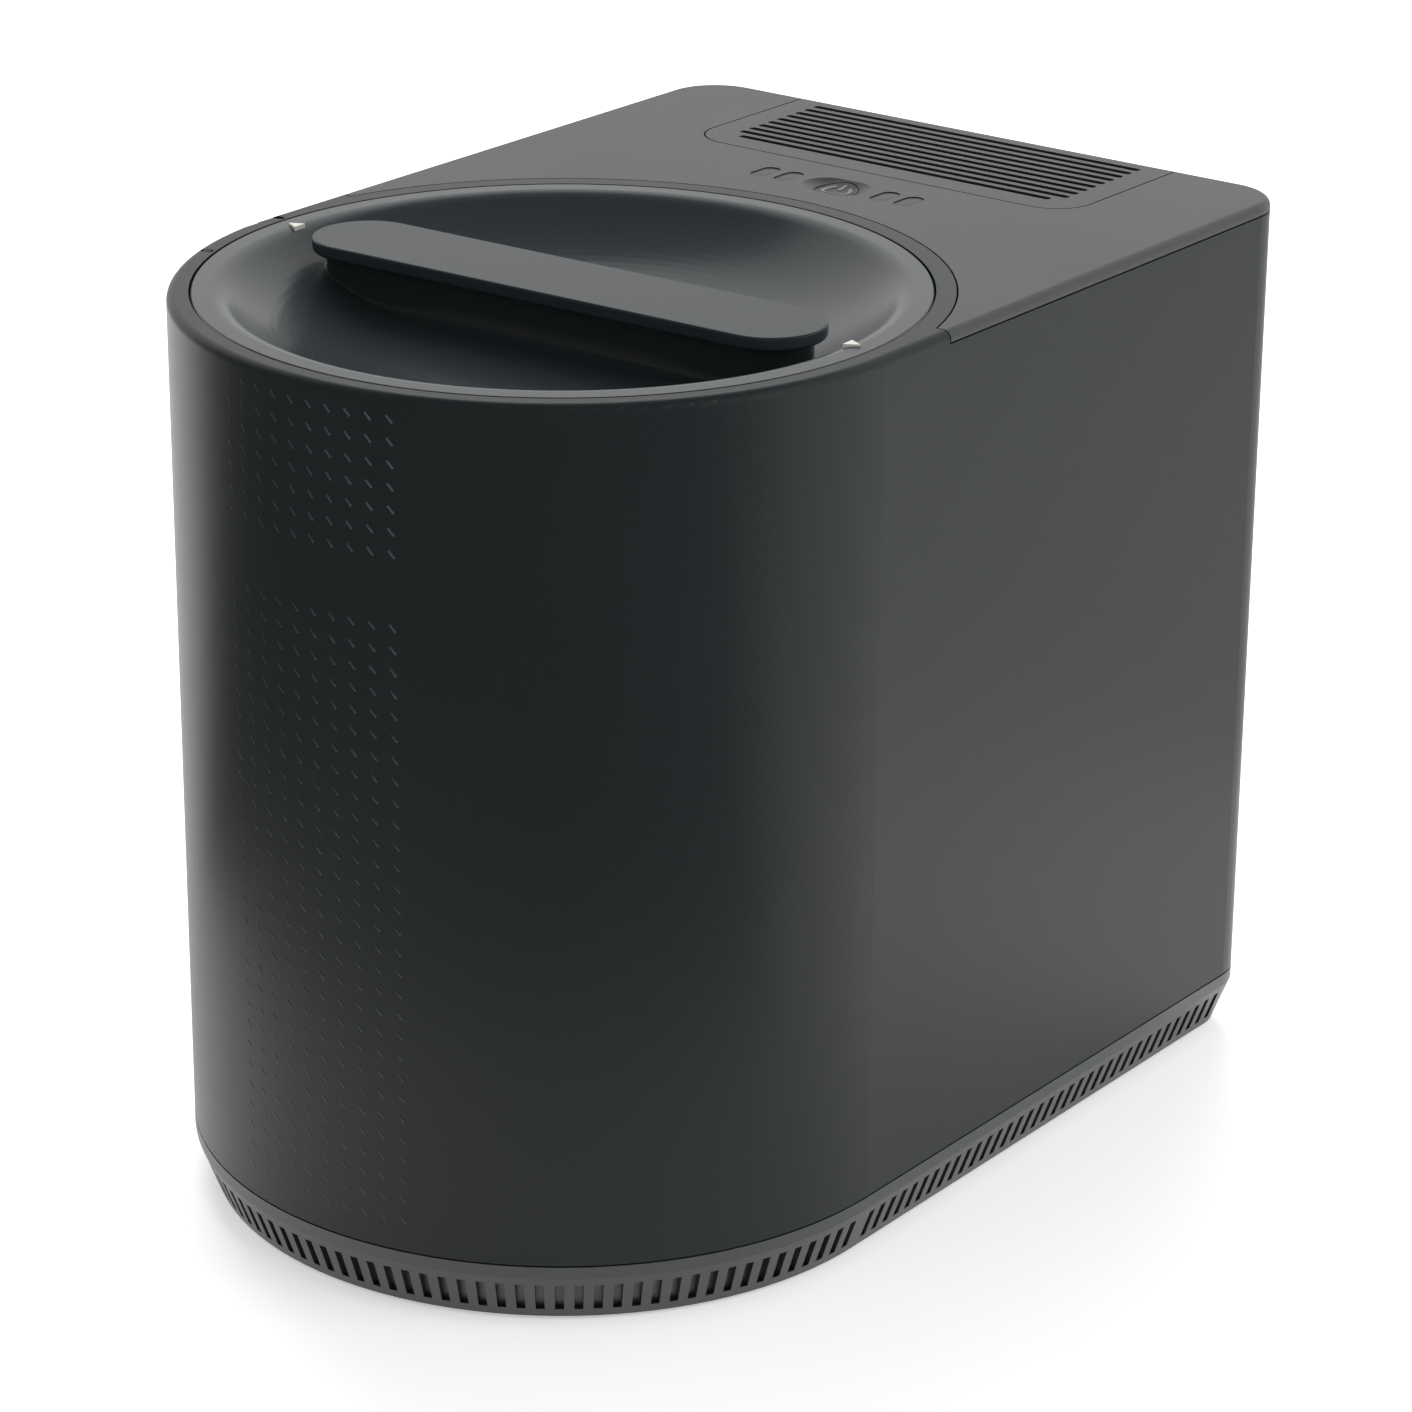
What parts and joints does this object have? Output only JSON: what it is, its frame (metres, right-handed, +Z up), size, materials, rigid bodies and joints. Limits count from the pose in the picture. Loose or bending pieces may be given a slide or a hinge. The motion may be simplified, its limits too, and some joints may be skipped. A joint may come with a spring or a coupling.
{
  "type": "electric food waste composter",
  "caption": "Countertop food waste composter: twist-lock round lid with a bar handle over a lift-out bucket with an agitator, geared drive, heater, fan and filters under a slotted cover.",
  "frame": {"origin": "centre of the bounding box's base, on the floor plane under the feet", "axes": "+X to the right seen from the lid's end, +Y to the rear where the power inlet is, +Z up"},
  "size_m": [0.262, 0.38, 0.3227],
  "materials": {
    "shell_plastic": "fine-grained moulded plastic",
    "skirt_plastic": "fine-grained moulded plastic",
    "deck_plastic": "fine-grained moulded plastic",
    "lid_plastic": "fine-grained moulded plastic",
    "arrow_plastic": "smooth pale plastic",
    "button_plastic": "smooth moulded plastic",
    "window_plastic": "smooth translucent plastic, dark when unlit",
    "inner_plastic": "smooth moulded plastic",
    "filter_plastic": "smooth moulded plastic",
    "cap_plastic": "smooth moulded plastic",
    "black_plastic": "smooth moulded plastic",
    "rubber": "smooth rubber",
    "liner_steel": "brushed sheet",
    "heater_aluminium": "cast and turned",
    "heater_steel": "drawn tube, heat-tinted",
    "gearbox_aluminium": "die cast",
    "gear_plastic": "natural moulded plastic",
    "shaft_steel": "turned",
    "motor_paint": "satin paint",
    "board_plastic": "coated circuit board",
    "screw_steel": "plated",
    "bucket_aluminium": "dark non-stick coat",
    "bush_brass": "turned",
    "bail_steel": "pressed and polished",
    "agitator_steel": "cast and blasted"
  },
  "bodies": {
    "housing": {"outer_shell": "shell_plastic", "back_panel": "shell_plastic", "base_skirt": "skirt_plastic", "base_plate": "skirt_plastic", "top_deck": "deck_plastic", "indicator_lights": "window_plastic", "lid_collar": "inner_plastic", "filter_bay": "inner_plastic", "outlet_plenum": "inner_plastic", "fan_housing": "inner_plastic", "intake_duct": "inner_plastic", "power_inlet": "black_plastic", "lid_switch": "black_plastic", "feet": "rubber", "filter_seals": "rubber", "chamber_liner": "liner_steel", "heater_plate": "heater_aluminium", "heater_element": "heater_steel", "gearbox_cover": "gearbox_aluminium", "gearbox_housing": "gearbox_aluminium", "output_bearings": "shaft_steel", "gear_axle": "shaft_steel", "motor": "motor_paint", "control_board": "board_plastic", "power_board": "board_plastic", "panel_screws": "screw_steel", "base_screws": "screw_steel", "inlet_pins": "screw_steel"},
    "lid_core": {"lid_liner": "inner_plastic", "lid_seal": "rubber", "lid_retainer": "liner_steel"},
    "lid": {"lid_cover": "lid_plastic", "lid_handle": "lid_plastic", "lid_arrows": "arrow_plastic"},
    "bucket": {"bucket": "bucket_aluminium", "bucket_floor": "bucket_aluminium", "breaker_bars": "bail_steel", "bucket_bush": "bush_brass", "bail_ears": "bail_steel"},
    "bail": {"bail": "bail_steel", "bail_grip": "black_plastic"},
    "agitator": {"bucket_coupling": "shaft_steel", "agitator_shaft": "shaft_steel", "agitator": "agitator_steel", "agitator_nut": "shaft_steel"},
    "drive": {"output_shaft": "shaft_steel", "output_gear": "gear_plastic", "drive_coupling": "shaft_steel"},
    "compound_gear": {"compound_gear": "gear_plastic"},
    "motor_rotor": {"motor_pinion": "shaft_steel"},
    "fan": {"fan_wheel": "inner_plastic"},
    "button": {"power_button": "button_plastic"},
    "filter_cover": {"filter_cover": "deck_plastic"},
    "left_filter": {"left_filter": "filter_plastic", "left_filter_cap": "cap_plastic"},
    "right_filter": {"right_filter": "filter_plastic", "right_filter_cap": "cap_plastic"}
  },
  "joints": [
    {"name": "lid_lift", "type": "slide", "parent": "housing", "child": "lid_core", "axis": [0, 0, 1], "range_m": [0, 0.48]},
    {"name": "lid_turn", "type": "hinge", "parent": "lid_core", "child": "lid", "pos_m": [0, -0.059, 0.3], "axis": [0, 0, 1], "range_deg": [0, 21]},
    {"name": "bucket_lift", "type": "slide", "parent": "housing", "child": "bucket", "axis": [0, 0, 1], "range_m": [0, 0.24]},
    {"name": "bail_raise", "type": "hinge", "parent": "bucket", "child": "bail", "pos_m": [0, -0.059, 0.2597], "axis": [-1, 0, 0], "range_deg": [0, 90]},
    {"name": "drive_spin", "type": "hinge", "parent": "housing", "child": "drive", "pos_m": [0, -0.059, 0.06], "axis": [0, 0, 1], "continuous": true},
    {"name": "agitator_spin", "type": "hinge", "parent": "bucket", "child": "agitator", "pos_m": [0, -0.059, 0.13], "axis": [0, 0, 1], "continuous": true},
    {"name": "gear_spin", "type": "hinge", "parent": "housing", "child": "compound_gear", "pos_m": [0, 0.021, 0.05], "axis": [0, 0, 1], "continuous": true},
    {"name": "motor_spin", "type": "hinge", "parent": "housing", "child": "motor_rotor", "pos_m": [0, 0.0825, 0.05], "axis": [0, 0, 1], "continuous": true},
    {"name": "fan_spin", "type": "hinge", "parent": "housing", "child": "fan", "pos_m": [0, 0.15, 0.2], "axis": [0, 0, 1], "continuous": true},
    {"name": "button_press", "type": "slide", "parent": "housing", "child": "button", "axis": [0, 0, -1], "range_m": [0, 0.0012], "stiffness_N_per_m": 400},
    {"name": "cover_lift", "type": "slide", "parent": "housing", "child": "filter_cover", "axis": [0, 0, 1], "range_m": [0, 0.16]},
    {"name": "left_filter_lift", "type": "slide", "parent": "housing", "child": "left_filter", "axis": [0, 0, 1], "range_m": [0, 0.08]},
    {"name": "right_filter_lift", "type": "slide", "parent": "housing", "child": "right_filter", "axis": [0, 0, 1], "range_m": [0, 0.08]}
  ],
  "couplings": [
    {"joint": "bucket_lift", "follows": "lid_lift", "ratio": 0.5},
    {"joint": "bail_raise", "follows": "lid_lift", "rad_per_m": 3.27},
    {"joint": "agitator_spin", "follows": "drive_spin", "ratio": 1},
    {"joint": "gear_spin", "follows": "drive_spin", "ratio": -3.4444},
    {"joint": "motor_spin", "follows": "drive_spin", "ratio": 14.208},
    {"joint": "left_filter_lift", "follows": "cover_lift", "ratio": 0.5},
    {"joint": "right_filter_lift", "follows": "cover_lift", "ratio": 0.5}
  ]
}
